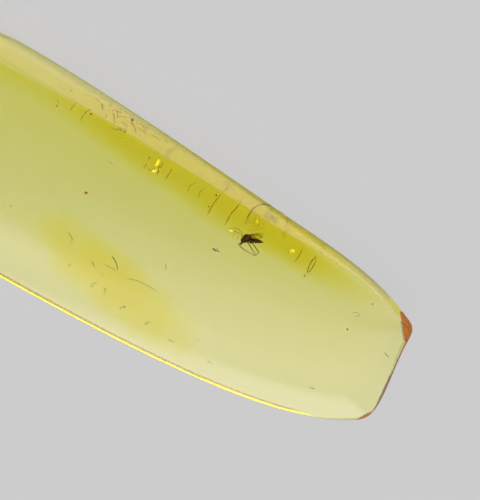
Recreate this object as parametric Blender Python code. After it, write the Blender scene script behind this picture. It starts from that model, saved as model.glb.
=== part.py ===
"""A small fly sealed in a polished tongue of clear amber.

Three solids: the fly, and the amber parted level with the fly into a lower and an upper half, with a
pocket between them that the fly lies in. Everything is modelled in millimetres and brought to metres
at the end. +X runs along the tongue towards its straight end, +Y across it towards its bevelled side,
+Z up from the flat base that the amber rests on. The origin is under the middle of the amber.
"""

from collections import namedtuple
from math import cos, pi, radians, sin

import bmesh
import bpy
from mathutils import Matrix, Vector
from mathutils.geometry import interpolate_bezier

MM = 0.001

# ---- Amber, in millimetres ----
LENGTH = 57.0
THICKNESS = 6.2  # at the middle of the table, which is the polished top face
TABLE_FALL = 0.018  # drop of the table per millimetre towards the straight end
TABLE_CROWN_ALONG = 0.25  # drop of the table at its ends
TABLE_CROWN_ACROSS = 0.20  # drop of the table at its long sides
HALF_WIDTH = 9.6
SPINE = (-19.0, 19.0)  # x at which the middle line of the table starts and stops
ROLL_WIDTH = 5.0  # strip along the table's edge that is worn softly down
ROLL_DROP = 0.20  # how far it is worn down at the edge
ROLL_ENDS = (18.0, 27.0)  # on the bevelled side the wear starts at the first distance from the middle

PARTING_HEIGHT = 3.6  # middle of the gap between the two halves
PARTING_GAP = 0.3

STATIONS = 56  # cross-sections along the tongue
TABLE_ROWS = 3
BEVEL_ROWS = 3
BELLY_ROWS = 6
SIDE_STEPS = 32
MERGE = 0.002  # points closer than this are one

# A knot of the outline seen from above, and the edge it has there.
# x, y, heading: place and direction in degrees; before, after: lengths of the curve's handles
# bevel, drop: width and height of the slope from the table's edge to the outline
# crown: its roundness, 1 for a flat facet and 2 for a quarter of an ellipse
# undercut: how far the base's edge lies inside the outline; belly: roundness of that side
Knot = namedtuple("Knot", "x y heading before after bevel drop crown undercut belly")

BEVELLED_SIDE = (
    Knot(-28.5, -0.4, 90, 0.0, 5.3, 0.90, 2.2, 1.8, 1.4, 2.6),
    Knot(-15.0, 9.62, 0, 7.8, 8.0, 2.35, 1.6, 1.15, 1.0, 3.0),
    Knot(12.0, 8.10, -4.5, 9.0, 5.0, 1.45, 1.2, 1.15, 0.9, 3.0),
    Knot(26.2, 5.80, -24, 4.5, 1.3, 0.90, 1.0, 1.3, 0.6, 3.0),
    Knot(27.95, 3.90, -90, 1.4, 2.0, 0.45, 1.4, 1.5, 0.2, 3.0),
    Knot(28.5, -2.4, -90, 2.0, 0.0, 0.12, 2.0, 1.8, 0.12, 3.0),
)
PLAIN_SIDE = (
    Knot(-28.5, -0.4, -90, 0.0, 5.3, 0.90, 2.2, 1.8, 1.4, 2.6),
    Knot(-15.0, -9.6, 0, 7.8, 12.0, 0.10, 0.3, 3.0, 0.9, 4.0),
    Knot(21.55, -7.12, 15, 9.0, 2.5, 0.10, 0.3, 3.0, 0.9, 4.0),
    Knot(27.2, -4.9, 33, 2.0, 0.9, 0.30, 2.0, 1.8, 0.3, 3.5),
    Knot(28.5, -2.4, 90, 1.6, 0.0, 0.12, 2.0, 1.8, 0.12, 3.0),
)

# ---- Fly, in millimetres from its own middle ----
# The fly lies on its side: its head at -X, its back at +Y, its two sides at +Z and -Z.
FLY_PLACE = (11.33, 4.30, PARTING_HEIGHT)
FLY_TURN = 30.0  # degrees from the amber's axes to the fly's
POCKET_MIDDLE = (-0.40, 0.10, 0.0)
POCKET_RADII = (2.15, 1.75, 0.95)

HEAD = ((-0.70, 0.20, 0.0), (0.19, 0.23, 0.21))
EYE = ((-0.74, 0.24, 0.13), (0.12, 0.16, 0.10))
THORAX = ((-0.40, 0.42, 0.0), (0.38, 0.31, 0.30))
ABDOMEN = (  # x, y and radius of each ring, from the waist to the tip
    (-0.30, 0.34, 0.16),
    (-0.08, 0.28, 0.21),
    (0.18, 0.23, 0.22),
    (0.42, 0.18, 0.20),
    (0.62, 0.16, 0.13),
    (0.90, 0.13, 0.09),
    (1.06, 0.11, 0.05),
)
WING = (  # outline in the wing's own plane: along it from the hinge, and across it
    (-0.06, 0.00),
    (0.10, 0.09),
    (0.50, 0.15),
    (0.95, 0.17),
    (1.28, 0.10),
    (1.40, -0.03),
    (1.30, -0.19),
    (0.95, -0.29),
    (0.50, -0.27),
    (0.15, -0.14),
)
WING_THICKNESS = 0.03
WING_HINGE = (-0.30, 0.56, 0.12)
WING_SPREAD = 9.0  # degrees that each wing opens away from the body's middle plane
WING_TILTS = (-3.0, 6.0)  # degrees that the near and the far wing point above the body's line

LEG_RADIUS = 0.030
FOOT_RADIUS = 0.020
# Joints of each pair of legs, from the body to the foot: x, y and distance from the middle plane
FORE_LEG = (
    (-0.50, 0.20, 0.12),
    (-0.90, 0.06, 0.16),
    (-1.13, -0.12, 0.20),
    (-0.66, -0.57, 0.24),
    (0.20, -1.05, 0.20),
)
MIDDLE_LEG = (
    (-0.28, 0.18, 0.12),
    (-0.20, -0.10, 0.22),
    (-0.03, -0.38, 0.30),
    (0.14, -0.69, 0.30),
    (0.32, -1.06, 0.24),
)
HIND_LEG = (
    (-0.04, 0.14, 0.14),
    (0.30, -0.24, 0.28),
    (0.45, -0.50, 0.33),
    (0.60, -0.78, 0.34),
    (0.43, -1.04, 0.28),
)
FAR_LEG_SHIFT = (0.10, 0.05)  # the far legs stand a little behind the near ones

ANTENNA_RADIUS = 0.022
ANTENNAE = (  # joints of the near and the far antenna
    ((-0.80, 0.36, 0.07), (-0.90, 0.72, 0.14), (-1.40, 1.00, 0.24), (-1.86, 1.26, 0.30)),
    ((-0.80, 0.36, -0.07), (-0.84, 0.80, -0.14), (-1.10, 1.16, -0.26), (-1.52, 1.32, -0.34)),
)
BEAK = ((-0.78, 0.06, 0.0), (-0.90, -0.08, 0.0), (-0.92, -0.20, 0.0))
BEAK_RADIUS = 0.045

ROUND_SIDES = 14
TUBE_SIDES = 6
POCKET_SIDES = 20
AMBER_SHARP = 24  # degrees between faces from which an edge is drawn sharp
FLY_SHARP = 50

# ---- Finishes: colour, roughness and how much light passes through ----
AMBER_FINISH = ((0.80, 0.72, 0.20), 0.05, 0.9)
CUTICLE_FINISH = ((0.07, 0.03, 0.012), 0.45, 0.0)


def clear_scene():
    for thing in list(bpy.data.objects):
        bpy.data.objects.remove(thing, do_unlink=True)


def surface(name, colour, roughness, transmission):
    """A material with the part's own colour."""
    material = bpy.data.materials.new(name)
    material.use_nodes = True
    shader = material.node_tree.nodes["Principled BSDF"]
    shader.inputs["Base Color"].default_value = (*colour, 1.0)
    shader.inputs["Roughness"].default_value = roughness
    shader.inputs["Metallic"].default_value = 0.0
    shader.inputs["Transmission Weight"].default_value = transmission
    return material


def add_object(name, shape, material=None):
    """Turn a bmesh into an object of the scene, with its faces pointing out."""
    bmesh.ops.recalc_face_normals(shape, faces=shape.faces)
    mesh = bpy.data.meshes.new(name)
    shape.to_mesh(mesh)
    shape.free()
    thing = bpy.data.objects.new(name, mesh)
    bpy.context.collection.objects.link(thing)
    if material:
        mesh.materials.append(material)
    return thing


def apply_boolean(thing, tool, operation):
    """Join, or cut away, another solid, and keep the result as the object's own mesh."""
    modifier = thing.modifiers.new(operation.lower(), "BOOLEAN")
    modifier.operation = operation
    modifier.solver = "EXACT"
    modifier.object = tool
    seen = thing.evaluated_get(bpy.context.evaluated_depsgraph_get())
    result = bpy.data.meshes.new_from_object(seen)
    thing.modifiers.clear()
    thing.data = result


# ---- Amber ----


def side_points(knots):
    """Points along one side of the outline, from the round end to the straight one."""
    points = []
    for start, stop in zip(knots, knots[1:]):
        ends = Vector((start.x, start.y)), Vector((stop.x, stop.y))
        away = Matrix.Rotation(radians(start.heading), 2) @ Vector((start.after, 0.0))
        into = Matrix.Rotation(radians(stop.heading), 2) @ Vector((stop.before, 0.0))
        curve = interpolate_bezier(ends[0], ends[0] + away, ends[1] - into, ends[1], SIDE_STEPS + 1)
        for step, place in enumerate(curve):
            if step == 0 and points:
                continue
            share = step / SIDE_STEPS
            blend = share * share * (3 - 2 * share)
            edge = [a + (b - a) * blend for a, b in zip(start[5:], stop[5:])]
            points.append((place[0], place[1], *edge))
    return points


def point_at(points, x):
    """The point of a side at a given x."""
    for low, high in zip(points, points[1:]):
        if low[0] <= x <= high[0] and high[0] > low[0]:
            share = (x - low[0]) / (high[0] - low[0])
            return tuple(a + (b - a) * share for a, b in zip(low, high))
    return points[0] if x <= points[0][0] else points[-1]


def even_stations(points, count):
    """The x of points spaced evenly along a side."""
    lengths = [0.0]
    for low, high in zip(points, points[1:]):
        lengths.append(lengths[-1] + (Vector(high[:2]) - Vector(low[:2])).length)
    places = []
    index = 0
    for step in range(count + 1):
        wanted = lengths[-1] * step / count
        while index < len(lengths) - 2 and lengths[index + 1] < wanted:
            index += 1
        share = (wanted - lengths[index]) / (lengths[index + 1] - lengths[index])
        places.append(points[index][0] + (points[index + 1][0] - points[index][0]) * share)
    return places


def table_height(place):
    along = place.x / (LENGTH / 2)
    across = place.y / HALF_WIDTH
    crown = TABLE_CROWN_ALONG * along**2 + TABLE_CROWN_ACROSS * across**2
    return THICKNESS - TABLE_FALL * place.x - crown


def bevelled_roll(x):
    """How far the table's edge is worn down along the bevelled side."""
    share = min(max((abs(x) - ROLL_ENDS[0]) / (ROLL_ENDS[1] - ROLL_ENDS[0]), 0.0), 1.0)
    return ROLL_DROP * share * share * (3 - 2 * share)


def half_section(point, spine, roll):
    """Points from the middle of the table, over one side, to the middle of the base."""
    x, y, bevel, drop, crown, undercut, belly = point
    rim = Vector((x, y))
    inward = (spine - rim).normalized()
    table_edge = rim + inward * bevel
    top = table_height(table_edge) - roll
    waist = top - drop
    section = []
    for row in range(TABLE_ROWS):
        place = spine.lerp(table_edge, row / TABLE_ROWS)
        worn = max(0.0, 1 - (table_edge - place).length / ROLL_WIDTH) ** 2
        section.append((place.x, place.y, table_height(place) - roll * worn))
    for row in range(BEVEL_ROWS):
        turn = pi / 2 * row / BEVEL_ROWS
        place = rim + inward * bevel * (1 - sin(turn) ** (2 / crown))
        section.append((place.x, place.y, top - drop * (1 - cos(turn) ** (2 / crown))))
    for row in range(BELLY_ROWS):
        turn = pi / 2 * row / BELLY_ROWS
        place = rim + inward * undercut * (1 - cos(turn) ** (2 / belly))
        section.append((place.x, place.y, waist * (1 - sin(turn) ** (2 / belly))))
    base_edge = rim + inward * undercut
    for row in range(TABLE_ROWS + 1):
        place = base_edge.lerp(spine, row / TABLE_ROWS)
        section.append((place.x, place.y, 0.0))
    return section


def amber_shape():
    """The whole tongue: rings across it, joined along it and drawn together at both ends."""
    bevelled = side_points(BEVELLED_SIDE)
    plain = side_points(PLAIN_SIDE)
    shape = bmesh.new()
    rings = []
    for x in even_stations(bevelled, STATIONS):
        share = (x + LENGTH / 2) / LENGTH
        spine = Vector((SPINE[0] + (SPINE[1] - SPINE[0]) * share, 0.0))
        over = half_section(point_at(bevelled, x), spine, bevelled_roll(x))
        back = half_section(point_at(plain, x), spine, ROLL_DROP)
        ring = over + back[-2:0:-1]
        rings.append([shape.verts.new(place) for place in ring])
    for ring, following in zip(rings, rings[1:]):
        for index in range(len(ring)):
            beside = (index + 1) % len(ring)
            shape.faces.new((ring[index], ring[beside], following[beside], following[index]))
    bmesh.ops.remove_doubles(shape, verts=shape.verts, dist=MERGE)
    bmesh.ops.dissolve_degenerate(shape, edges=shape.edges, dist=MERGE / 2)
    return shape


def amber_half(name, height, keep_above, material):
    """The part of the amber on one side of a level cut."""
    shape = amber_shape()
    everything = shape.verts[:] + shape.edges[:] + shape.faces[:]
    bmesh.ops.bisect_plane(
        shape,
        geom=everything,
        plane_co=(0, 0, height),
        plane_no=(0, 0, 1),
        clear_inner=keep_above,
        clear_outer=not keep_above,
    )
    rim = [edge for edge in shape.edges if edge.is_boundary]
    bmesh.ops.contextual_create(shape, geom=rim)
    return add_object(name, shape, material)


def fly_frame():
    """From the fly's own axes to the amber's."""
    return Matrix.Translation(FLY_PLACE) @ Matrix.Rotation(radians(FLY_TURN), 4, "Z")


def pocket_cutter():
    """The hollow around the fly, rounder and a little larger than the fly."""
    shape = bmesh.new()
    bmesh.ops.create_uvsphere(shape, u_segments=POCKET_SIDES, v_segments=POCKET_SIDES // 2, radius=1.0)
    bmesh.ops.scale(shape, vec=POCKET_RADII, verts=shape.verts)
    bmesh.ops.translate(shape, vec=POCKET_MIDDLE, verts=shape.verts)
    shape.transform(fly_frame())
    cutter = add_object("pocket_cutter", shape)
    cutter.hide_render = True
    cutter.display_type = "WIRE"
    return cutter


def build_amber(material):
    cutter = pocket_cutter()
    cuts = PARTING_HEIGHT - PARTING_GAP / 2, PARTING_HEIGHT + PARTING_GAP / 2
    halves = [
        amber_half("amber_lower", cuts[0], False, material),
        amber_half("amber_upper", cuts[1], True, material),
    ]
    for half in halves:
        apply_boolean(half, cutter, "DIFFERENCE")
        half.data.shade_smooth()
        half.data.set_sharp_from_angle(angle=radians(AMBER_SHARP))
    cutter.data.transform(Matrix.Scale(MM, 4))
    return halves


# ---- Fly ----


def ball(middle, radii):
    shape = bmesh.new()
    bmesh.ops.create_uvsphere(shape, u_segments=ROUND_SIDES, v_segments=ROUND_SIDES // 2 + 1, radius=1.0)
    bmesh.ops.scale(shape, vec=radii, verts=shape.verts)
    bmesh.ops.translate(shape, vec=middle, verts=shape.verts)
    return shape


def ring_around(shape, middle, direction, radius, sides):
    """A ring of points around a line through middle, which doesn't run straight up."""
    across = direction.cross(Vector((0.0, 0.0, 1.0))).normalized()
    beside = direction.cross(across)
    ring = []
    for side in range(sides):
        turn = 2 * pi * side / sides
        ring.append(shape.verts.new(middle + (across * cos(turn) + beside * sin(turn)) * radius))
    return ring


def tube(joints, radii, sides):
    """A closed tube through joints, as thick at each joint as its radius says."""
    shape = bmesh.new()
    joints = [Vector(joint) for joint in joints]
    rings = []
    for index, joint in enumerate(joints):
        before = joints[max(index - 1, 0)]
        after = joints[min(index + 1, len(joints) - 1)]
        rings.append(ring_around(shape, joint, (after - before).normalized(), radii[index], sides))
    for ring, following in zip(rings, rings[1:]):
        for side in range(sides):
            beside = (side + 1) % sides
            shape.faces.new((ring[side], ring[beside], following[beside], following[side]))
    shape.faces.new(rings[0])
    shape.faces.new(rings[-1])
    return shape


def abdomen():
    joints = [(x, y, 0.0) for x, y, radius in ABDOMEN]
    return tube(joints, [radius for x, y, radius in ABDOMEN], ROUND_SIDES)


def leg(joints, side):
    """One leg: thigh, shin and foot, thinner from joint to joint."""
    shift = (0.0, 0.0) if side > 0 else FAR_LEG_SHIFT
    places = []
    for index, (x, y, out) in enumerate(joints):
        share = index / (len(joints) - 1)
        places.append((x + shift[0] * share, y + shift[1] * share, out * side))
    steps = len(places) - 1
    radii = [LEG_RADIUS + (FOOT_RADIUS - LEG_RADIUS) * index / steps for index in range(len(places))]
    return tube(places, radii, TUBE_SIDES)


def wing(side, tilt):
    """One wing: a thin plate folded back along the body, leaning away from the middle plane."""
    shape = bmesh.new()
    lower = [shape.verts.new((x, y, -WING_THICKNESS / 2)) for x, y in WING]
    upper = [shape.verts.new((x, y, WING_THICKNESS / 2)) for x, y in WING]
    shape.faces.new(lower)
    shape.faces.new(upper)
    for index in range(len(WING)):
        beside = (index + 1) % len(WING)
        shape.faces.new((lower[index], lower[beside], upper[beside], upper[index]))
    hinge = Vector(WING_HINGE)
    hinge.z *= side
    shape.transform(
        Matrix.Translation(hinge)
        @ Matrix.Rotation(radians(tilt), 4, "Z")
        @ Matrix.Rotation(radians(-WING_SPREAD * side), 4, "Y")
    )
    return shape


def build_fly(material):
    """Grow the fly from its thorax: every other part runs into it or into its neighbour."""
    pieces = [ball(*HEAD), abdomen()]
    (x, y, out), eye_radii = EYE
    for side, tilt, antenna in zip((1, -1), WING_TILTS, ANTENNAE):
        pieces.append(ball((x, y, out * side), eye_radii))
        pieces.append(wing(side, tilt))
        pieces.append(tube(antenna, [ANTENNA_RADIUS] * len(antenna), TUBE_SIDES))
        pieces += [leg(joints, side) for joints in (FORE_LEG, MIDDLE_LEG, HIND_LEG)]
    pieces.append(tube(BEAK, [BEAK_RADIUS] * len(BEAK), TUBE_SIDES))

    fly = add_object("fly", ball(*THORAX), material)
    for index, piece in enumerate(pieces):
        tool = add_object(f"fly_piece_{index}", piece, material)
        apply_boolean(fly, tool, "UNION")
        bpy.data.objects.remove(tool, do_unlink=True)
    fly.data.transform(fly_frame())
    fly.data.shade_smooth()
    fly.data.set_sharp_from_angle(angle=radians(FLY_SHARP))
    return fly


def main():
    clear_scene()
    solids = build_amber(surface("amber", *AMBER_FINISH))
    solids.append(build_fly(surface("cuticle", *CUTICLE_FINISH)))
    for solid in solids:
        solid.data.transform(Matrix.Scale(MM, 4))


if __name__ == "__main__":
    main()
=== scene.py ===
"""Looks of the insect in amber: a polished tongue of clear amber with a gnat and fine cracks inside."""
from collections import namedtuple
from math import cos, pi, radians, sin

import bmesh
import bpy
from mathutils import Matrix, Vector, noise
from mathutils.geometry import interpolate_bezier


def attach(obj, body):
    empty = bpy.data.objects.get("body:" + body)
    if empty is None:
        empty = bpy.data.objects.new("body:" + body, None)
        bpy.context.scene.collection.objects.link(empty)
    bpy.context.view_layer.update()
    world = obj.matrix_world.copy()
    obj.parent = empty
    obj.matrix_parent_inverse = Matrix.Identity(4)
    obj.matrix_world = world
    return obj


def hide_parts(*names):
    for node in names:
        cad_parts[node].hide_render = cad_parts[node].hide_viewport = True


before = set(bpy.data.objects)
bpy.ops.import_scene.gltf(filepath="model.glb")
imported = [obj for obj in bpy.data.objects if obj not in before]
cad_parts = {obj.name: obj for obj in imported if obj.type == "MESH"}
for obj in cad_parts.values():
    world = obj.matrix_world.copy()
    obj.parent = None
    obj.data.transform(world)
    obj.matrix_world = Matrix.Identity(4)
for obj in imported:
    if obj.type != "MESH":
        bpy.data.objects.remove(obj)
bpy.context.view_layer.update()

# Lengths are in millimetres, as in the model's own source, and meshes are brought to metres at the end.
MM = 0.001

# ---- How the photograph sees the amber ----
PHOTO_SIZE = (480, 500)
PHOTO_MM_PER_PIXEL = 0.09
PHOTO_TURN = 30.0  # degrees from the photograph's right to the amber's long axis
FLY_PIXEL = (250, 243)  # the fly in the photograph, and in the amber
FLY_SPOT = (11.25, 4.30)
FOCUS_HEIGHT = 3.5
CAMERA_LENS = 300.0
CAMERA_SENSOR = 36.0
CAMERA_CLIP = 0.01  # metres

# ---- Amber ----
LENGTH = 57.0
HALF_WIDTH = 9.6
THICKNESS = 6.2
TABLE_FALL = 0.018
TABLE_CROWN_ALONG = 0.25
TABLE_CROWN_ACROSS = 0.20
ROLL_WIDTH = 5.0
ROLL_DROP = 0.20
# The bevelled side has none of that roll up to the first distance along it, and all from the second
ROLL_ENDS = (24.0, 33.0)
SPINE = (-19.0, 19.0)
STATIONS = 260
# The mesh's own record of how far in from the plain rim a point of its top is, and of how far out on the
# bevel a point is: none at the bevel's inner edge, one at its rim, and less than none on the table
RIM_REACH = "rim_reach"
BEVEL_REACH = "bevel_reach"
FAR = 9.0
TABLE_ROWS = 28
TABLE_CLOSE = 0.8  # below one, the table's rows lie closer together towards its edge
BEVEL_ROWS = 10
BELLY_ROWS = 24
SIDE_STEPS = 96
MERGE_WITHIN = 0.002

Knot = namedtuple("Knot", "x y heading before after bevel drop crown undercut belly")

BEVELLED_SIDE = (
    Knot(-28.5, -0.4, 90, 0.0, 5.3, 0.90, 2.2, 1.8, 1.4, 2.6),
    Knot(-15.0, 9.62, 0, 7.8, 8.0, 2.35, 1.6, 1.15, 1.0, 3.0),
    Knot(12.0, 8.10, -4.5, 9.0, 5.0, 1.45, 1.2, 1.15, 0.9, 3.0),
    Knot(26.2, 5.80, -24, 4.5, 1.3, 0.90, 1.0, 1.3, 0.6, 3.0),
    Knot(27.95, 3.90, -90, 1.4, 2.0, 0.45, 1.4, 1.5, 0.2, 3.0),
    Knot(28.5, -2.4, -90, 2.0, 0.0, 0.12, 2.0, 1.8, 0.12, 3.0),
)
PLAIN_SIDE = (
    Knot(-28.5, -0.4, -90, 0.0, 5.3, 0.90, 2.2, 1.8, 1.4, 2.6),
    Knot(-15.0, -9.6, 0, 7.8, 12.0, 0.10, 0.3, 3.0, 0.9, 4.0),
    Knot(21.55, -7.12, 15, 9.0, 2.5, 0.10, 0.3, 3.0, 0.9, 4.0),
    Knot(27.2, -4.9, 33, 2.0, 0.9, 0.30, 2.0, 1.8, 0.3, 3.5),
    Knot(28.5, -2.4, 90, 1.6, 0.0, 0.12, 2.0, 1.8, 0.12, 3.0),
)

# ---- Colour of the amber ----
# A noise is a scale, a detail and a roughness. A fade is where a share starts and stops changing, and may go
# on with its value at each of them, which are otherwise nought and one.
# Absorption per metre of red, green and blue, and the density above them all that the shader scales them by
ABSORPTION = (1.0, 1.5, 180.0)
ABSORPTION_DENSITY = 200.0
AMBER_IOR = 1.54
POLISH_NOISE = (5000, 6, 0.7)
POLISH = (0.35, 0.8, 0.012, 0.03)

# The deeper band lies along the bevel's inner edge, where Y is the first of these less the second times X and
# the third times the square of X. Its reach and its depth go by millimetres along the amber.
BAND_EDGE = (7.3, 0.0165, 0.0019)
BAND_REACH = ((-28.0, 0.9), (-9.0, 1.1), (-5.0, 1.5), (0.0, 2.1), (7.0, 2.3), (15.0, 1.9), (28.0, 1.5))
BAND_DEPTH = (
    (-28.0, 0.7), (-11.0, 0.9), (-6.0, 1.9), (5.0, 2.0), (9.0, 2.3),
    (15.5, 2.6), (18.5, 1.2), (22.0, 0.3), (26.0, 0.0),
)
BAND_FADE = (-1.1, 1.1, 1.0, 0.0)
BAND_NOISE = (120, 3)
BAND_WOBBLE = 1.2
BAND_TAIL = (0.5, 8.0, 0.42, 0.0)
BAND_TAIL_ENDS = (12.0, 24.0, 1.0, 0.2)
# How much of the band's depth the bevel itself shows
BEVEL_SHARE = ((-28.0, 0.2), (-6.0, 0.3), (2.0, 0.6), (14.0, 0.75), (22.0, 0.5), (28.0, 0.2))
BEVEL_FADE = (-0.1, 0.25)
# The plain side is a little deeper all over towards the straight end
LOW_DEPTH = 0.10
LOW_ALONG = (-4.0, 6.0)
LOW_ACROSS = (-2.0, 5.0, 1.0, 0.0)
# The yellower cloud: its middle, how steeply it slopes, and its half length and half width
PATCH_PLACE = (2.5, -4.95)
PATCH_SLOPE = 0.17
PATCH_SIZE = (8.8, 2.75)
PATCH_DEPTH = 2.8
PATCH_FADE = (0.05, 1.25)
PATCH_NOISE = (300, 5, 0.55)
PATCH_RAGGED = 1.0
# What a unit of depth takes of red, green and blue, in the band and in the cloud
SKIN = (0.03, 0.07, 0.84)
PATCH_SKIN = (0.0, 0.04, 0.95)

# Painted shade on the bevel: it lets through less than the polished table does, and less still by its rim
BEVEL_SHADE = (0.65, 0.57, 0.52, 1)
BEVEL_RIM_SHADE = (0.36, 0.36, 0.42, 1)
BEVEL_RIM_SHADE_FADE = (0.62, 0.86)
BEVEL_SHADE_FADE = (-0.02, 0.02)
BEVEL_SHADE_ENDS = (22.0, 27.0, 1.0, 0.6)
# Painted shade: a dark honey-coloured line just inside the plain rim, from how far in it starts to where it
# ends
RIM_SHADE_LINE = (0.23, 0.27, 0.39, 0.43)
RIM_SHADE_ENDS = (21.5, 24.0, 1.0, 0.0)
RIM_SHADE_COLOUR = (0.15, 0.095, 0.001, 1)
# The bevel is a deeper yellow just before the crust
CORNER_ALONG = (24.0, 25.2)
CORNER_ACROSS = (4.2, 4.8)
CORNER_OUT = (0.15, 0.5)
CORNER_YELLOW = (1.0, 0.86, 0.16, 1)

# Weathered crust on the straight end. It begins past any of these lines, each a point and the direction out,
# and it stops at the last one, across the upper corner.
CRUST_LINES = (
    (25.95, 5.61, 0.767, 0.642),
    (27.74, 3.34, 0.995, 0.1),
    (28.40, -1.9, 0.996, -0.09),
    (28.07, -3.6, 0.832, -0.555),
)
CRUST_FADE = (-0.06, 0.10)
CRUST_STOP = (26.02, 5.75, 0.5, -0.866)
CRUST_STOP_FADE = (-0.05, 0.08)
CRUST_NOISE = (900, 5, 0.6)
CRUST_RAGGED = 0.14
CRUST_DARK = (0.40, 0.085, 0.003, 1)
CRUST_PALE = (0.70, 0.26, 0.016, 1)
SPECKLE_NOISE = (2600, 5, 0.65)
SPECKLE_FADE = (0.3, 0.72)
# The crust is browner along the middle of the end, and blends with the corners' between these places
CRUST_MIDDLE_DARK = (0.20, 0.095, 0.014, 1)
CRUST_MIDDLE_PALE = (0.38, 0.22, 0.042, 1)
CRUST_MIDDLE_ENDS = (-3.6, -1.6, 1.4, 3.2)
CRUST_COVER = 0.8
CRUST_ROUGHNESS = 0.8
CRUST_GRAIN_NOISE = (3200, 6, 0.65)
CRUST_GRAIN = 0.00004

# ---- Inclusions, by the photograph's pixels and a height in millimetres ----
# Fissures: height of the top, depth of the sheet below it, width of the line, and the line's pixels
FISSURES = (
    (4.6, 1.2, 0.07, ((150, 156), (148.5, 160))),
    (4.5, 1.5, 0.07, ((147, 164), (145, 166.5), (143.5, 168))),
    (4.5, 1.2, 0.06, ((147, 167), (149, 169.5), (151, 171))),
    (4.4, 1.6, 0.08, ((160, 166), (158.5, 170), (157, 175))),
    (4.4, 1.2, 0.07, ((163, 163), (161.5, 166), (160, 169))),
    (4.3, 1.8, 0.07, ((171.5, 169), (169, 174), (164.5, 180))),
    (4.4, 1.4, 0.045, ((196, 183), (190, 186), (188.5, 190), (189, 194))),
    (4.4, 1.6, 0.045, ((205, 188), (200, 192), (198, 199))),
    (4.3, 2.2, 0.09, ((221, 194), (214, 203), (210.5, 209), (207, 215))),
    (4.3, 2.4, 0.10, ((239, 204.5), (235, 209.5), (231.5, 213), (228, 219), (224.5, 226))),
    (4.0, 1.0, 0.05, ((285, 233), (283, 238))),
    (3.9, 2.0, 0.07, ((302, 249), (298, 257), (294, 262))),
    (3.9, 1.6, 0.09, ((316, 256), (311.5, 261), (307, 271), (309, 271.5), (314.5, 263), (316, 256.4))),
    (3.8, 0.9, 0.05, ((306, 273.5), (303, 278))),
    (4.9, 1.0, 0.04, ((57, 100), (59, 104))),
    (4.9, 1.0, 0.035, ((76, 103), (72, 108), (70, 112))),
    (4.8, 1.4, 0.05, ((90, 111.5), (86, 112.5), (84, 115), (81.5, 119), (82, 123))),
    (4.5, 0.6, 0.030, ((110, 127.5), (113, 129), (118, 130.5), (124.5, 133.5))),
    (4.8, 0.8, 0.045, ((112.3, 119.5), (112.8, 123))),
    (4.4, 0.8, 0.05, ((270, 217.5), (270.5, 222))),
    (4.2, 0.5, 0.03, ((248, 231), (256, 229.5), (266, 228))),
)
FISSURE_UNEVEN = 0.15  # how much a fissure's top rises and falls
FISSURE_PITCH = 0.37
LINE_STEPS = 6  # from each place of a line to the next
LINE_SHARE = 0.42  # a line's radius, of its width
SHEET_ROWS = 6
SHEET_HALF_THICKNESS = 0.008
SHEET_ENDS = 0.25  # of its depth, at the ends of the line
SHEET_SWAY = 0.10
SHEET_PITCH = 0.7

# The round crack behind the fly: a fine rim around its upper part, and a shallow dish
DISC_HEIGHT = 4.3
DISC_SAG = 0.35
DISC_RIM_RADIUS = 0.050
DISC_RIM = (
    (245, 223.5), (248, 216), (252, 211), (258, 207.5), (264, 206.5), (270, 207.5), (275, 209), (285, 214),
)
DISC_MIDDLE = (258, 228)
DISC_ROWS = 12
DISC_STEPS = 8
DISC_RIM_ENDS = (0.3, 0.3)
DISC_RIPPLE = 0.05
DISC_PITCH = 1.7
DISC_HALF_THICKNESS = 0.012
DISC_FADE = (6.1, 6.9, 1.0, 0.0)  # across the amber, towards the bevel

# Flakes: pixel, height, width and height in pixels, and turn in degrees
FLAKES = (
    (158, 163, 4.3, 4.5, 8.5, -20),
    (154.5, 171, 4.2, 6.5, 4.0, 10),
    (159, 169.5, 4.2, 2.2, 6.5, -25),
    (257.5, 222, 4.0, 4.0, 6.0, -15),
    (291, 251, 3.8, 6.5, 4.5, 25),
    (231, 230.6, 3.9, 7.0, 3.2, -30),
    (235.5, 236.3, 3.9, 5.5, 2.4, -25),
    (125, 137, 4.4, 3.5, 1.0, -35),
    (113, 125, 4.5, 1.2, 4.0, 0),
    (254, 235.5, 3.8, 3.0, 1.2, 0),
)
FLAKE_SIDE = (0.0, -1.0)  # the side of the photograph that flakes lean to, by their tilt in degrees
FLAKE_TILT = 8.0
FLAKE_RAGGED = 0.35
FLAKE_HALF_THICKNESS = 0.03
FLAKE_PITCH = 1.6
FLAKE_RIPPLE = 0.004
FLAKE_RIPPLE_PITCH = 2.1

# Specks: pixel, height, and width and height in millimetres
SPECKS = (
    (11, 206, 3.2, 0.12, 0.10),
    (372, 304, 4.1, 0.10, 0.12),
    (347, 329, 3.8, 0.14, 0.14),
    (213.5, 249, 3.7, 0.22, 0.12),
    (215.5, 250.5, 3.6, 0.28, 0.10),
    (218, 251.2, 3.7, 0.13, 0.15),
    (216.8, 248.9, 3.8, 0.10, 0.08),
    (124.5, 306, 3.1, 0.30, 0.12),
    (121, 307, 3.2, 0.22, 0.08),
    (106, 289, 3.5, 0.12, 0.09),
    (92, 285.5, 3.9, 0.15, 0.12),
    (147.5, 322, 3.6, 0.16, 0.08),
    (313, 387.5, 2.9, 0.14, 0.08),
    (270.2, 219.8, 4.4, 0.10, 0.10),
    (304, 276, 3.8, 0.10, 0.10),
)
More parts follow.
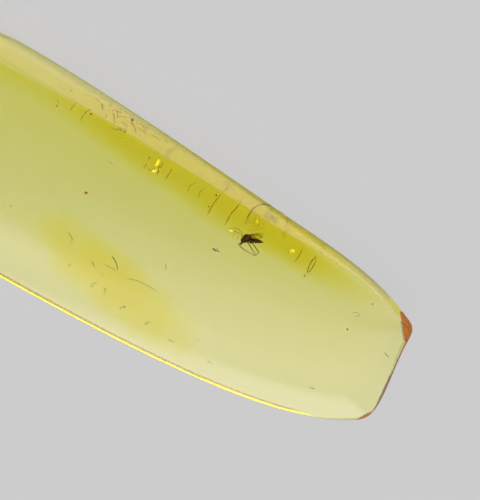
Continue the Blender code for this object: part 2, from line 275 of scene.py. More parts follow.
# Hairs: height, thickness, and the line
HAIRS = (
    (3.6, 0.042, ((112, 256), (115, 260), (117, 265), (118, 270))),
    (3.9, 0.024, ((68.8, 232), (71, 236), (73, 239))),
    (3.9, 0.016, ((73, 237.5), (72, 241), (70, 243))),
    (3.5, 0.030, ((92, 261), (94, 264.5), (94.6, 267))),
    (4.2, 0.030, ((166, 264), (165.8, 270))),
    (3.4, 0.022, ((93, 283), (98, 282))),
    (3.4, 0.022, ((104, 288), (106, 289), (103.5, 295))),
    (3.7, 0.018, ((105, 264), (112, 268), (117, 271))),
    (3.7, 0.018, ((127, 278), (136, 280), (143, 283), (152, 288), (158, 291))),
    (3.6, 0.028, ((148, 321), (145, 324))),
    (3.6, 0.020, ((149, 321), (152, 321.5))),
    (3.1, 0.026, ((169, 337), (171, 340), (175, 340.5))),
    (4.0, 0.024, ((208, 360), (212, 363))),
    (3.8, 0.036, ((384, 352.5), (388, 357))),
    (3.5, 0.024, ((309, 386), (314, 388.5))),
    (3.5, 0.022, ((68, 266), (70.5, 264), (73, 263))),
    (4.0, 0.018, ((102, 272), (103, 276))),
    (4.1, 0.013, ((352, 313), (355, 312), (359.5, 314.5), (356, 316.5), (352.5, 314))),
    (4.6, 0.013, ((108, 161), (113, 165))),
    (3.3, 0.013, ((197, 338), (199.5, 341))),
)
HAIR_SWAY = 0.5  # how much a hair rises and falls
HAIR_SWAY_PITCH = 0.11
HAIR_ENDS = (0.6, 0.25)
# Fine reddish cracks under the bevel, a little lower for each pixel towards the photograph's right
CRACKLE_HEIGHT = 5.1
CRACKLE_FALL = 0.002
CRACKLE_RADIUS = 0.029
CRACKLE_ENDS = (0.4, 0.3)
CRACKLES = (
    ((95, 99), (97, 102), (101, 104)),
    ((101, 105), (101.5, 109), (100.5, 113)),
    ((111, 113), (115, 111.5), (119, 113.5), (122, 113)),
    ((113.5, 116), (113, 121)),
    ((116, 112), (117, 117), (116.3, 121)),
    ((118, 119), (122, 118), (126, 120)),
    ((128, 118), (130.5, 121), (130, 125)),
    ((131.5, 120), (132, 126), (134.5, 131), (134, 136)),
    ((135, 123), (138, 126)),
    ((137, 129), (141, 132), (146, 134)),
    ((140, 124), (143.5, 130), (144, 137)),
    ((146, 127), (149, 131)),
    ((150, 137), (156, 139), (160, 143)),
    ((163, 141), (167, 143)),
    ((108, 106), (112, 107.5)),
    ((120, 124), (125, 127), (125.5, 132)),
    ((224, 183), (228, 186), (231, 190)),
    ((226, 189), (224, 193)),
    ((285, 219), (286, 225), (284, 229)),
    ((287, 220), (291, 222)),
    ((281, 235), (284, 232)),
    ((318, 244), (325, 249)),
)
# Reddish crumbs, by the same measures as specks, and all but the first of them under the bevel
RED_CRUMBS = (
    (86, 193, 4.8, 0.27, 0.22),
    (101, 107, 4.6, 0.20, 0.14),
    (101, 111, 4.4, 0.12, 0.16),
    (104.5, 119, 4.5, 0.14, 0.10),
    (112, 117, 4.5, 0.15, 0.09),
    (116, 114.5, 4.5, 0.08, 0.26),
    (116.5, 118.5, 4.5, 0.08, 0.18),
    (119, 112, 4.4, 0.14, 0.09),
    (131, 122, 4.3, 0.30, 0.22),
    (134, 133, 4.4, 0.12, 0.10),
    (131, 127, 4.4, 0.08, 0.40),
    (144, 130, 4.3, 0.14, 0.10),
    (70, 93, 4.7, 0.10, 0.30),
    (57, 106, 4.8, 0.14, 0.14),
    (124, 133.5, 4.5, 0.14, 0.12),
    (91, 114.5, 4.6, 0.10, 0.22),
    (285, 221, 3.9, 0.10, 0.10),
    (286, 228, 3.8, 0.12, 0.10),
    (262, 205, 4.1, 0.14, 0.08),
    (226, 192, 4.2, 0.10, 0.10),
    (216, 195.5, 4.3, 0.20, 0.18),
    (208.8, 206.8, 4.2, 0.14, 0.14),
    (232, 196, 4.2, 0.10, 0.12),
)
BALL_PITCH = 2.3  # how closely the unevenness of a ball's skin lies
DEBRIS_RAGGED = 0.9
SPECK_DEPTH = 1 / 2  # of the lesser of a grain's width and height
CRUMB_DEPTH = 1 / 3
CRUMB_TURN = 40.0

# Colours of the inclusions, each a pair that its noise mixes
FISSURE_COLOURS = ((0.22, 0.075, 0.003, 1), (0.52, 0.22, 0.010, 1))
SHEET_COLOURS = ((0.80, 0.55, 0.06, 1), (0.60, 0.36, 0.03, 1))
FLAKE_COLOURS = ((1.0, 0.98, 0.56, 1), (0.86, 0.80, 0.28, 1))
SPECK_COLOURS = ((0.05, 0.025, 0.008, 1), (0.16, 0.08, 0.02, 1))
CRUMB_COLOURS = ((0.45, 0.14, 0.02, 1), (0.75, 0.36, 0.06, 1))
CRACKLE_COLOURS = ((0.62, 0.15, 0.004, 1), (0.90, 0.38, 0.02, 1))
HAIR_COLOURS = ((0.020, 0.013, 0.003, 1), (0.09, 0.058, 0.012, 1))
CUTICLE_COLOURS = ((0.035, 0.007, 0.001, 1), (0.16, 0.047, 0.007, 1))
EYE_COLOURS = ((0.030, 0.006, 0.003, 1), (0.10, 0.02, 0.008, 1))
LIMB_COLOURS = ((0.008, 0.005, 0.001, 1), (0.032, 0.018, 0.004, 1))
VEIN_COLOURS = ((0.060, 0.032, 0.007, 1), (0.16, 0.09, 0.02, 1))
WING_COLOURS = ((0.70, 0.56, 0.16, 1), (0.36, 0.22, 0.05, 1))
# Their looks: the noise and fade of their patches and of their roughness, or a plain one, and their grain
FISSURE_LOOK = (((1800, 4), 0.35, 0.65), ((4000,), 0.3, 0.7, 0.25, 0.5))
FISSURE_ALPHA = ((1900, 3), 0.34, 0.62, 0.22, 1.0)
SHEET_LOOK = (((1500, 4),), 0.2)
SHEET_ALPHA = ((1100, 5, 0.65), 0.3, 0.75, 0.04, 0.15)
FLAKE_LOOK = (((3000, 4),), ((2500, 4), 0.3, 0.7, 0.30, 0.55), ((5000, 4), 0.000006))
DEBRIS_LOOK = (((5000, 4), 0.3, 0.7), 0.6, ((9000, 4), 0.00002))
CUTICLE_PATCHES = ((6500, 5, 0.6), 0.35, 0.7)
CUTICLE_SHEEN_NOISE = (16000, 3)
CUTICLE_SHEEN = 0.2
CUTICLE_GRAIN = ((30000, 4), 0.000012)
WING_LOOK = (((3500, 4), 0.3, 0.75), ((9000, 3), 0.3, 0.7, 0.15, 0.35), ((20000, 3), 0.000008))
WING_ALPHA = (0.0, 1.0, 0.06, 0.18)

# ---- Fly, in millimetres in its own axes: head at -X, back at +Y, its two sides at +Z and -Z ----
FLY_PLACE = (11.33, 4.30, 3.6)
FLY_TURN = 30.0
HEAD = ((-0.72, 0.27, 0.0), (0.21, 0.24, 0.21))
EYE = ((-0.76, 0.30, 0.12), (0.14, 0.18, 0.11))
EYE_DOMES = 24.0
EYE_DOME_HEIGHT = 0.06
EYE_DOME_SHIFT = (0.0, 0.0, 0.8)
THORAX = ((-0.38, 0.48, 0.0), (0.37, 0.35, 0.31))
SCUTELLUM = ((-0.08, 0.58, 0.0), (0.12, 0.10, 0.16))
BODY_BALLS = ((HEAD, 0.10, 4), (THORAX, 0.10, 4), (SCUTELLUM, 0.08, 3))  # with roughness and fineness
BODY_TURN = -12.0
RING_FLATTENED = 0.95
RING_ROUGH = 0.06
BODY_RINGS = (  # x, y, radius and half length of each ring of the hind body
    (-0.20, 0.34, 0.21, 0.13),
    (-0.04, 0.32, 0.255, 0.12),
    (0.12, 0.30, 0.275, 0.115),
    (0.28, 0.28, 0.27, 0.11),
    (0.43, 0.255, 0.25, 0.105),
    (0.56, 0.225, 0.22, 0.10),
    (0.69, 0.19, 0.18, 0.095),
    (0.81, 0.155, 0.135, 0.09),
    (0.92, 0.13, 0.095, 0.08),
    (1.02, 0.11, 0.062, 0.07),
)
# Mouth parts: the places along one, and its radius at each place
PROBOSCIS = (((-0.76, 0.08, 0.0), (-0.86, -0.03, 0.0), (-0.89, -0.15, 0.0)), (0.060, 0.048, 0.030))
PALP = (
    ((-0.80, 0.12, 0.05), (-0.92, 0.02, 0.08), (-0.94, -0.10, 0.10), (-0.90, -0.18, 0.11)),
    (0.024, 0.026, 0.022, 0.014),
)
COXAE = ((-0.50, 0.14), (-0.27, 0.10), (-0.06, 0.08))
COXA_OUT = 0.12
COXA_SIZE = (0.075, 0.13, 0.07)
COXA_TURN = -15.0
COXA_ROUGH = 0.15
# A balancer: the ends of its stem, and its knob's middle and size
BALANCER = (((-0.14, 0.36, 0.20), (-0.09, 0.33, 0.27)), (-0.07, 0.32, 0.29), (0.035, 0.025, 0.025))
BALANCER_RADII = (0.010, 0.010)
LEG_SIZES = (1.25, 1.10, 0.85, 0.62, 0.42, 0.30)  # of a leg's thickness, at its joints
FAR_LEG_SHIFT = (0.10, 0.05)
LEGS = (  # joints from the body to the foot, each with its distance from the middle plane, and thickness
    (((-0.50, 0.20, 0.12), (-0.90, 0.06, 0.16), (-1.13, -0.12, 0.20), (-0.66, -0.57, 0.24),
      (-0.04, -0.93, 0.22), (0.31, -1.13, 0.20)), 0.019),
    (((-0.28, 0.18, 0.12), (-0.20, -0.10, 0.22), (-0.03, -0.38, 0.30), (0.14, -0.69, 0.30),
      (0.31, -1.00, 0.25), (0.33, -1.12, 0.22)), 0.019),
    (((-0.04, 0.14, 0.14), (0.30, -0.24, 0.28), (0.45, -0.50, 0.33), (0.60, -0.68, 0.34),
      (0.60, -0.88, 0.32), (0.43, -1.04, 0.28)), 0.019),
)
LIMB_STEPS = 6
LIMB_PINCH = 0.90  # of a limb's radius, at a joint, and what it gains between two of them
LIMB_SWELL = 0.22
ANTENNA_RADIUS = 0.019
ANTENNA_STEPS = 12
ANTENNA_JOINTS = 13
ANTENNA_JOINT_DEPTH = 0.45
ANTENNAE = (
    ((-0.82, 0.42, 0.07), (-0.88, 0.76, 0.14), (-1.34, 1.04, 0.22), (-1.81, 1.27, 0.30)),
    (
        (-0.80, 0.40, -0.07), (-0.82, 0.88, -0.14), (-1.06, 1.20, -0.22),
        (-1.40, 1.36, -0.30), (-1.70, 1.38, -0.34),
    ),
)
BRISTLE_RADII = (0.009, 0.0072, 0.0045, 0.00135)
BRISTLE_PLACES = (0, 0.35, 0.7, 1.0)
BRISTLE_DEPTH = 0.97
LEG_BRISTLES = 7  # between two joints
# How far these lean outwards, their length and their bend
LEG_BRISTLE = (0.9, 0.055, 0.2)
ANTENNA_BRISTLE = (1.0, 0.05, 0.2)
ANTENNA_BRISTLE_EVERY = 3  # steps along the antenna
BACK_BRISTLES = 9
# Degrees where those on the back start and how far they go around it, their lean, length and bend
BACK_BRISTLE = (35, 110, 0.45, 0.11, (0.25, -0.1, 0))
BACK_LEAN = 0.5  # towards the tail
TAIL_BRISTLES = 18
TAIL_BRISTLE = ((1, 0.07), (-1, 0.06))  # length above and below
TAIL_ROOT = (0.9, 0.3)  # how far up or down and out of the middle plane, of a ring's radius
TAIL_AIM = (1, 0.7, 0.2)
TAIL_BEND = 0.2
WING_HINGE = (-0.32, 0.66, 0.12)
WING_LENGTH = 1.52
WING_SPREAD = 9.0
WING_TILTS = (-3.0, 6.0)
WING_CAMBER = 0.05
WING_PLEAT = 0.012
WING_PLEATS = 42
WING_WIDTHS = (0.03, 0.14, 0.245)  # of the stem, and gained above and below it
WING_TIP = 3.2  # how squarely the tip is rounded
WING_ROOT = (5, 0.7)  # how soon the wing widens, and how evenly
WING_BELLY = 0.55  # of the lower width, all along; the rest is gained at the middle
WING_ROWS = 40
WING_COLUMNS = 12
MEMBRANE = 0.010
FAR_VEINS = 3  # how many of its veins the far wing shows
VEIN_ENDS = (0.9, 0.5)
VEINS = (  # half thickness, and places in the wing's plane
    (0.013, ((-0.03, 0.01), (0.10, 0.105), (0.50, 0.165), (0.95, 0.160), (1.25, 0.110), (1.38, 0.02))),
    (0.012, ((0.00, 0.01), (0.40, 0.075), (0.80, 0.110), (1.02, 0.150))),
    (0.011, ((0.25, 0.050), (0.60, 0.040), (1.00, 0.060), (1.36, 0.030))),
    (0.010, ((0.05, -0.01), (0.35, 0.00), (0.70, -0.030), (0.95, -0.025), (1.36, -0.06))),
    (0.007, ((0.95, -0.025), (1.10, -0.09), (1.27, -0.15))),
    (0.008, ((0.05, -0.02), (0.45, -0.09), (0.75, -0.17), (0.92, -0.27))),
    (0.009, ((0.04, -0.03), (0.30, -0.13), (0.50, -0.27))),
    (0.008, ((0.62, 0.042), (0.66, -0.025))),
)

# ---- Stage ----
FLOOR_SIZE = 1.6  # metres
FLOOR_DROP = 0.3
FLOOR_COLOUR = (0.05, 0.05, 0.051, 1)
FLOOR_GLOW_COLOUR = (1.0, 0.995, 1.0, 1)
FLOOR_GLOW = 0.567
LIGHT_COLOUR = (1.0, 0.90, 0.97, 1)
DARK_TOP = (45.0, 12.0)  # degrees from straight up where the tent starts to darken, and where it is darkest
TOP_GLOW = 0.05
TENT_GLOW = 0.18
LIGHT_BOUNCES = 32
# Each lamp's side of the photograph, lean from straight up, outer and inner angle, and strength
LAMPS = (
    (0.10, -1.0, 26.0, 27.0, 20.0, 3.2),
    (0.0, -1.0, 26.0, 16.5, 12.5, 2.3),
    (0.5, 0.866, 72.0, 36.0, 16.0, 1.9),
)


# ---- Helpers ----


def photo_axes():
    """The photograph's right and up, in the amber's axes."""
    turn = radians(PHOTO_TURN)
    return Vector((cos(turn), sin(turn), 0.0)), Vector((-sin(turn), cos(turn), 0.0))


def at_pixel(x, y, height):
    """The place at a height that the photograph shows at a pixel, in millimetres."""
    right, up = photo_axes()
    middle = Vector((PHOTO_SIZE[0] / 2, PHOTO_SIZE[1] / 2))
    fly = Vector((*FLY_SPOT, 0.0))
    centre = fly + (right * (middle.x - FLY_PIXEL[0]) - up * (middle.y - FLY_PIXEL[1])) * PHOTO_MM_PER_PIXEL
    distance = camera_distance()
    scale = PHOTO_MM_PER_PIXEL * (distance - (height - FOCUS_HEIGHT)) / distance
    place = centre + (right * (x - middle.x) - up * (y - middle.y)) * scale
    return Vector((place.x, place.y, height))


def camera_distance():
    """How far above the plane in focus a pixel is as wide as PHOTO_MM_PER_PIXEL says."""
    return max(PHOTO_SIZE) * PHOTO_MM_PER_PIXEL * CAMERA_LENS / CAMERA_SENSOR


def finish_piece(name, shape, material, smooth=40):
    """Turn a bmesh in millimetres into a piece that rides on the amber, sharp at edges over an angle."""
    bmesh.ops.recalc_face_normals(shape, faces=shape.faces)
    mesh = bpy.data.meshes.new(name)
    shape.to_mesh(mesh)
    shape.free()
    mesh.shade_smooth()
    mesh.set_sharp_from_angle(angle=radians(smooth))
    mesh.transform(Matrix.Scale(MM, 4))
    piece = bpy.data.objects.new(name, mesh)
    bpy.context.collection.objects.link(piece)
    mesh.materials.append(material)
    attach(piece, "root")
    return piece


class Nodes:
    """Short ways to add shader nodes to a material or to the world."""

    def __init__(self, owner):
        owner.use_nodes = True
        self.owner = owner
        self.tree = owner.node_tree

    @property
    def shader(self):
        return self.tree.nodes["Principled BSDF"]

    @property
    def output(self):
        return self.tree.nodes["Material Output"]

    def add(self, kind, **values):
        node = self.tree.nodes.new(kind)
        for key, value in values.items():
            setattr(node, key, value)
        return node

    def feed(self, socket, value):
        """Link a socket's value, or set it."""
        if isinstance(value, bpy.types.NodeSocket):
            self.tree.links.new(value, socket)
        else:
            socket.default_value = value

    def surface(self, name, value):
        """Link or set one of the shader's values."""
        self.feed(self.shader.inputs[name], value)

    def attribute(self, name):
        return self.add("ShaderNodeAttribute", attribute_name=name).outputs["Fac"]

    def maths(self, operation, *values):
        node = self.add("ShaderNodeMath", operation=operation)
        for socket, value in zip(node.inputs, values):
            self.feed(socket, value)
        return node.outputs[0]

    def plus(self, first, second):
        return self.maths("ADD", first, second)

    def minus(self, first, second):
        return self.maths("SUBTRACT", first, second)

    def times(self, first, *others):
        for other in others:
            first = self.maths("MULTIPLY", first, other)
        return first

    def beyond(self, x, y, line):
        """How far a place is past a line, given as a point and the direction out."""
        line_x, line_y, out_x, out_y = line
        return self.plus(self.times(self.minus(x, line_x), out_x), self.times(self.minus(y, line_y), out_y))

    def ramp(self, value, low, high, to_low=0.0, to_high=1.0, kind="SMOOTHSTEP"):
        node = self.add("ShaderNodeMapRange", interpolation_type=kind)
        for socket, number in zip(node.inputs, (value, low, high, to_low, to_high)):
            self.feed(socket, number)
        return node.outputs["Result"]

    def noise(self, scale, detail=4.0, rough=0.55):
        node = self.add("ShaderNodeTexNoise")
        node.inputs["Scale"].default_value = scale
        node.inputs["Detail"].default_value = detail
        node.inputs["Roughness"].default_value = rough
        self.feed(node.inputs["Vector"], self.place())
        return node.outputs["Fac"]

    def sway(self, noise, size):
        """A noise about zero, as wide as its size."""
        return self.times(self.minus(self.noise(*noise), 0.5), size)

    def patches(self, noise, *fade):
        return self.ramp(self.noise(*noise), *fade) if fade else self.noise(*noise)

    def place(self):
        """Where a point is in the amber, in metres."""
        return self.add("ShaderNodeTexCoord").outputs["Object"]

    def across(self):
        """The same in millimetres, as a socket for X and one for Y."""
        scaled = self.add("ShaderNodeVectorMath", operation="SCALE")
        self.feed(scaled.inputs[0], self.place())
        scaled.inputs["Scale"].default_value = 1 / MM
        split = self.add("ShaderNodeSeparateXYZ")
        self.feed(split.inputs[0], scaled.outputs[0])
        return split.outputs["X"], split.outputs["Y"]

    def curve(self, value, points):
        """A value that follows straight lines between points, by a ramp of greys."""
        low, high = points[0][0], points[-1][0]
        top = max(level for place, level in points)
        node = self.add("ShaderNodeValToRGB")
        spots = node.color_ramp.elements
        while len(spots) < len(points):
            spots.new(0.5)
        for spot, (place, level) in zip(spots, points):
            spot.position = (place - low) / (high - low)
            spot.color = (level / top, level / top, level / top, 1.0)
        self.feed(node.inputs["Fac"], self.ramp(value, low, high, kind="LINEAR"))
        return self.times(node.outputs["Color"], top)

    def mix(self, share, first, second, blend="MIX"):
        node = self.add("ShaderNodeMix", data_type="RGBA", blend_type=blend)
        self.feed(node.inputs["Factor"], share)
        self.feed(node.inputs[6], first)
        self.feed(node.inputs[7], second)
        return node.outputs[2]

    def near(self, direction, axis, wide, narrow):
        """A share that rises to one as a direction comes from one angle to a narrower one of an axis."""
        dot = self.add("ShaderNodeVectorMath", operation="DOT_PRODUCT")
        self.feed(dot.inputs[0], direction)
        dot.inputs[1].default_value = Vector(axis).normalized()
        return self.ramp(dot.outputs["Value"], cos(radians(wide)), cos(radians(narrow)))

    def bump(self, height, distance):
        node = self.add("ShaderNodeBump")
        node.inputs["Distance"].default_value = distance
        self.feed(node.inputs["Height"], height)
        return node.outputs[0]


def new_material(name):
    return Nodes(bpy.data.materials.new(name))


# ---- Shape of the amber ----


def ease(share):
    """A share from nought to one, level at both ends."""
    return share * share * (3 - 2 * share)


def side_points(knots):
    """Points along one side of the outline, from the round end to the straight one."""
    points = []
    for start, stop in zip(knots, knots[1:]):
        ends = Vector((start.x, start.y)), Vector((stop.x, stop.y))
        away = Matrix.Rotation(radians(start.heading), 2) @ Vector((start.after, 0.0))
        into = Matrix.Rotation(radians(stop.heading), 2) @ Vector((stop.before, 0.0))
        curve = interpolate_bezier(ends[0], ends[0] + away, ends[1] - into, ends[1], SIDE_STEPS + 1)
        for step, place in enumerate(curve):
            if step == 0 and points:
                continue
            blend = ease(step / SIDE_STEPS)
            edge = [a + (b - a) * blend for a, b in zip(start[5:], stop[5:])]
            points.append((place[0], place[1], *edge))
    return points


def point_at(points, x):
    """The point of a side at a given x."""
    for low, high in zip(points, points[1:]):
        if low[0] <= x <= high[0] and high[0] > low[0]:
            share = (x - low[0]) / (high[0] - low[0])
            return tuple(a + (b - a) * share for a, b in zip(low, high))
    return points[0] if x <= points[0][0] else points[-1]


def even_stations(points, count):
    """The x of points spaced evenly along a side."""
    lengths = [0.0]
    for low, high in zip(points, points[1:]):
        lengths.append(lengths[-1] + (Vector(high[:2]) - Vector(low[:2])).length)
    places = []
    index = 0
    for step in range(count + 1):
        wanted = lengths[-1] * step / count
        while index < len(lengths) - 2 and lengths[index + 1] < wanted:
            index += 1
        share = (wanted - lengths[index]) / (lengths[index + 1] - lengths[index])
        places.append(points[index][0] + (points[index + 1][0] - points[index][0]) * share)
    return places


def table_height(place):
    """Height of the crowned table, which falls a little towards the straight end."""
    along = place.x / (LENGTH / 2)
    across = place.y / HALF_WIDTH
    crown = TABLE_CROWN_ALONG * along**2 + TABLE_CROWN_ACROSS * across**2
    return THICKNESS - TABLE_FALL * place.x - crown


def roll_at(x):
    """How much of the table's soft roll its bevelled side has at a given x."""
    share = min(max((abs(x) - ROLL_ENDS[0]) / (ROLL_ENDS[1] - ROLL_ENDS[0]), 0.0), 1.0)
    return ROLL_DROP * ease(share)


def half_section(point, spine, roll):
    """Points from the middle of the table, over one side, to the middle of the base."""
    x, y, bevel, drop, crown, undercut, belly = point
    rim = Vector((x, y))
    inward = (spine - rim).normalized()
    table_edge = rim + inward * bevel
    top = table_height(table_edge) - roll
    waist = top - drop
    section = []
    for row in range(TABLE_ROWS):
        place = spine.lerp(table_edge, (row / TABLE_ROWS) ** TABLE_CLOSE)
        near = max(0.0, 1 - (table_edge - place).length / ROLL_WIDTH)
        section.append((place.x, place.y, table_height(place) - roll * near**2))
    for row in range(BEVEL_ROWS):
        turn = pi / 2 * row / BEVEL_ROWS
        place = rim + inward * bevel * (1 - sin(turn) ** (2 / crown))
        section.append((place.x, place.y, top - drop * (1 - cos(turn) ** (2 / crown))))
    for row in range(BELLY_ROWS):
        turn = pi / 2 * row / BELLY_ROWS
        place = rim + inward * undercut * (1 - cos(turn) ** (2 / belly))
        section.append((place.x, place.y, waist * (1 - sin(turn) ** (2 / belly))))
    base_edge = rim + inward * undercut
    for row in range(TABLE_ROWS + 1):
        place = base_edge.lerp(spine, row / TABLE_ROWS)
        section.append((place.x, place.y, 0.0))
    return section


def amber_skin(shape):
    """Add the amber's outside to a bmesh, with its faces pointing out and both reaches noted."""
    bevelled = side_points(BEVELLED_SIDE)
    plain = side_points(PLAIN_SIDE)
    reach = shape.verts.layers.float.new(RIM_REACH)
    out = shape.verts.layers.float.new(BEVEL_REACH)
    rings = []
    for x in even_stations(bevelled, STATIONS):
        share = (x + LENGTH / 2) / LENGTH
        spine = Vector((SPINE[0] + (SPINE[1] - SPINE[0]) * share, 0.0))
        over = half_section(point_at(bevelled, x), spine, roll_at(x))
        back = half_section(point_at(plain, x), spine, ROLL_DROP)
        rings.append([shape.verts.new(place) for place in over + back[-2:0:-1]])
        rim = Vector(back[TABLE_ROWS + BEVEL_ROWS][:2])
        inner = Vector(over[TABLE_ROWS][:2])
        bevel = (Vector(over[TABLE_ROWS + BEVEL_ROWS][:2]) - inner).length
        for index, vert in enumerate(rings[-1]):
            row = len(over) + len(back) - 2 - index  # of the plain side's section
            on_top = len(over) <= index and row <= TABLE_ROWS + BEVEL_ROWS
            vert[reach] = (vert.co.xy - rim).length if on_top else FAR
            if index <= TABLE_ROWS + BEVEL_ROWS:
                vert[out] = (vert.co.xy - inner).length / bevel * (1 if index > TABLE_ROWS else -1)
            else:
                vert[out] = -FAR
    for ring, following in zip(rings, rings[1:]):
        for index in range(len(ring)):
            beside = (index + 1) % len(ring)
            shape.faces.new((ring[index], ring[beside], following[beside], following[index]))
    bmesh.ops.remove_doubles(shape, verts=shape.verts, dist=MERGE_WITHIN)
    bmesh.ops.dissolve_degenerate(shape, edges=shape.edges, dist=MERGE_WITHIN / 2)
    bmesh.ops.recalc_face_normals(shape, faces=shape.faces)


def make_amber():
    shape = bmesh.new()
    amber_skin(shape)
    piece = finish_piece("clear_amber", shape, amber_material(), smooth=20)
    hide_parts("amber_lower", "amber_upper")


def band_depth(nodes, x, y):
    """Depth of colour in the band by the bevel, and more faintly over the plain side."""
    start, slope, bend = BAND_EDGE
    edge = nodes.minus(nodes.minus(start, nodes.times(x, slope)), nodes.times(x, x, bend))
    inward = nodes.minus(edge, y)
    wavy = nodes.plus(inward, nodes.sway(BAND_NOISE, BAND_WOBBLE))
    inner = nodes.ramp(nodes.minus(wavy, nodes.curve(x, BAND_REACH)), *BAND_FADE)
    tail = nodes.times(nodes.ramp(wavy, *BAND_TAIL), nodes.ramp(x, *BAND_TAIL_ENDS))
    band = nodes.plus(nodes.times(inner, nodes.curve(x, BAND_DEPTH)), tail)
    outer = nodes.ramp(inward, *BEVEL_FADE, nodes.curve(x, BEVEL_SHARE), 1.0)
    low = nodes.times(nodes.ramp(x, *LOW_ALONG), nodes.ramp(y, *LOW_ACROSS), LOW_DEPTH)
    return nodes.plus(nodes.times(band, outer), low)


def patch_depth(nodes, x, y):
    """Depth of colour in the yellower cloud."""
    along = nodes.minus(x, PATCH_PLACE[0])
    across = nodes.minus(y, nodes.minus(PATCH_PLACE[1], nodes.times(along, PATCH_SLOPE)))
    along = nodes.maths("DIVIDE", along, PATCH_SIZE[0])
    across = nodes.maths("DIVIDE", across, PATCH_SIZE[1])
    far = nodes.maths("SQRT", nodes.plus(nodes.times(along, along), nodes.times(across, across)))
    return nodes.ramp(nodes.plus(far, nodes.sway(PATCH_NOISE, PATCH_RAGGED)), *PATCH_FADE, PATCH_DEPTH, 0.0)


def skin_tint(nodes, x, y):
    """What the amber's skin lets through where there is no crust, with painted shade on the bevel and along
    the plain rim.
    """
    band = band_depth(nodes, x, y)
    patch = patch_depth(nodes, x, y)
    combined = nodes.add("ShaderNodeCombineColor")
    for socket, band_share, patch_share in zip(combined.inputs, SKIN, PATCH_SKIN):
        taken = nodes.plus(nodes.times(band, -band_share), nodes.times(patch, -patch_share))
        nodes.feed(socket, nodes.maths("EXPONENT", taken))
    tint = combined.outputs[0]
    # painted shade: the bevel darker than the table, and darker still by its rim
    out = nodes.attribute(BEVEL_REACH)
    bevel_shade_share = nodes.times(nodes.ramp(out, *BEVEL_SHADE_FADE), nodes.ramp(x, *BEVEL_SHADE_ENDS))
    bevel_shade_tint = nodes.mix(nodes.ramp(out, *BEVEL_RIM_SHADE_FADE), BEVEL_SHADE, BEVEL_RIM_SHADE)
    tint = nodes.mix(bevel_shade_share, tint, nodes.mix(1.0, tint, bevel_shade_tint, "MULTIPLY"))
    # painted shade: a fine dark line along the plain rim
    reach = nodes.attribute(RIM_REACH)
    start, full, fades, stop = RIM_SHADE_LINE
    line = nodes.times(nodes.ramp(reach, start, full), nodes.ramp(reach, fades, stop, 1.0, 0.0))
    tint = nodes.mix(nodes.times(line, nodes.ramp(x, *RIM_SHADE_ENDS)), tint, RIM_SHADE_COLOUR)
    # the yellow stretch of bevel before the crust
    corner = nodes.times(nodes.ramp(x, *CORNER_ALONG), nodes.ramp(y, *CORNER_ACROSS))
    return nodes.mix(nodes.times(corner, nodes.ramp(out, *CORNER_OUT)), tint, CORNER_YELLOW)


def crust_share(nodes, x, y):
    """Where the weathered crust is left."""
    ragged = nodes.sway(CRUST_NOISE, CRUST_RAGGED)
    crust = 0.0
    for line in CRUST_LINES:
        past = nodes.ramp(nodes.plus(nodes.beyond(x, y, line), ragged), *CRUST_FADE)
        crust = nodes.maths("MAXIMUM", crust, past)
    kept = nodes.ramp(nodes.plus(nodes.beyond(x, y, CRUST_STOP), ragged), *CRUST_STOP_FADE)
    return nodes.times(crust, kept)


def crust_colour(nodes, y):
    speckle = nodes.patches(SPECKLE_NOISE, *SPECKLE_FADE)
    corners = nodes.mix(speckle, CRUST_DARK, CRUST_PALE)
    low, above, below, high = CRUST_MIDDLE_ENDS
    middle = nodes.times(nodes.ramp(y, low, above), nodes.ramp(y, below, high, 1.0, 0.0))
    return nodes.mix(middle, corners, nodes.mix(speckle, CRUST_MIDDLE_DARK, CRUST_MIDDLE_PALE))


def amber_material():
    nodes = new_material("clear_amber")
    x, y = nodes.across()
    crust = crust_share(nodes, x, y)
    nodes.surface("Base Color", nodes.mix(crust, skin_tint(nodes, x, y), crust_colour(nodes, y)))
    nodes.surface("Transmission Weight", nodes.minus(1.0, nodes.times(crust, CRUST_COVER)))
    polish = nodes.patches(POLISH_NOISE, *POLISH)
    nodes.surface("Roughness", nodes.plus(polish, nodes.times(crust, CRUST_ROUGHNESS)))
    nodes.surface("IOR", AMBER_IOR)
    nodes.surface("Normal", nodes.bump(nodes.times(nodes.noise(*CRUST_GRAIN_NOISE), crust, CRUST_GRAIN), 1.0))
    absorption = nodes.add("ShaderNodeVolumeAbsorption")
    absorption.inputs["Color"].default_value = (*(1 - a / ABSORPTION_DENSITY for a in ABSORPTION), 1.0)
    absorption.inputs["Density"].default_value = ABSORPTION_DENSITY
    nodes.feed(nodes.output.inputs["Volume"], absorption.outputs[0])
    return nodes.owner


# ---- Solids of the inclusions ----


def smooth_line(points, steps):
    """A smooth line through points, with a number of steps from each to the next."""
    line = [points[0]]
    for before, start, stop, after in zip([points[0]] + points, points, points[1:], points[2:] + points[-1:]):
        away = start + (stop - before) / 6
        into = stop - (after - start) / 6
        line += interpolate_bezier(start, away, into, stop, steps + 1)[1:]
    return line


def add_tube(shape, line, radii, sides=8):
    """Add a closed tube along a line, with a radius for each of its points."""
    rings = []
    for index, place in enumerate(line):
        along = line[min(index + 1, len(line) - 1)] - line[max(index - 1, 0)]
        along.normalize()
        across = along.cross(Vector((0.31, 0.17, 0.93))).normalized()
        beside = along.cross(across)
        ring = []
        for side in range(sides):
            turn = 2 * pi * side / sides
            ring.append(shape.verts.new(place + (across * cos(turn) + beside * sin(turn)) * radii[index]))
        rings.append(ring)
    for ring, following in zip(rings, rings[1:]):
        for side in range(sides):
            beside = (side + 1) % sides
            shape.faces.new((ring[side], ring[beside], following[beside], following[side]))
    shape.faces.new(rings[0][::-1])
    shape.faces.new(rings[-1])


def tapered(count, thick, thin_start=0.35, thin_end=0.2):
    """Radii that swell from one end and thin out towards the other."""
    shares = [index / (count - 1) for index in range(count)]
    return [
        thick * (min(1.0, thin_start + share * 4) * min(1.0, thin_end + (1 - share) * 3)) for share in shares
    ]


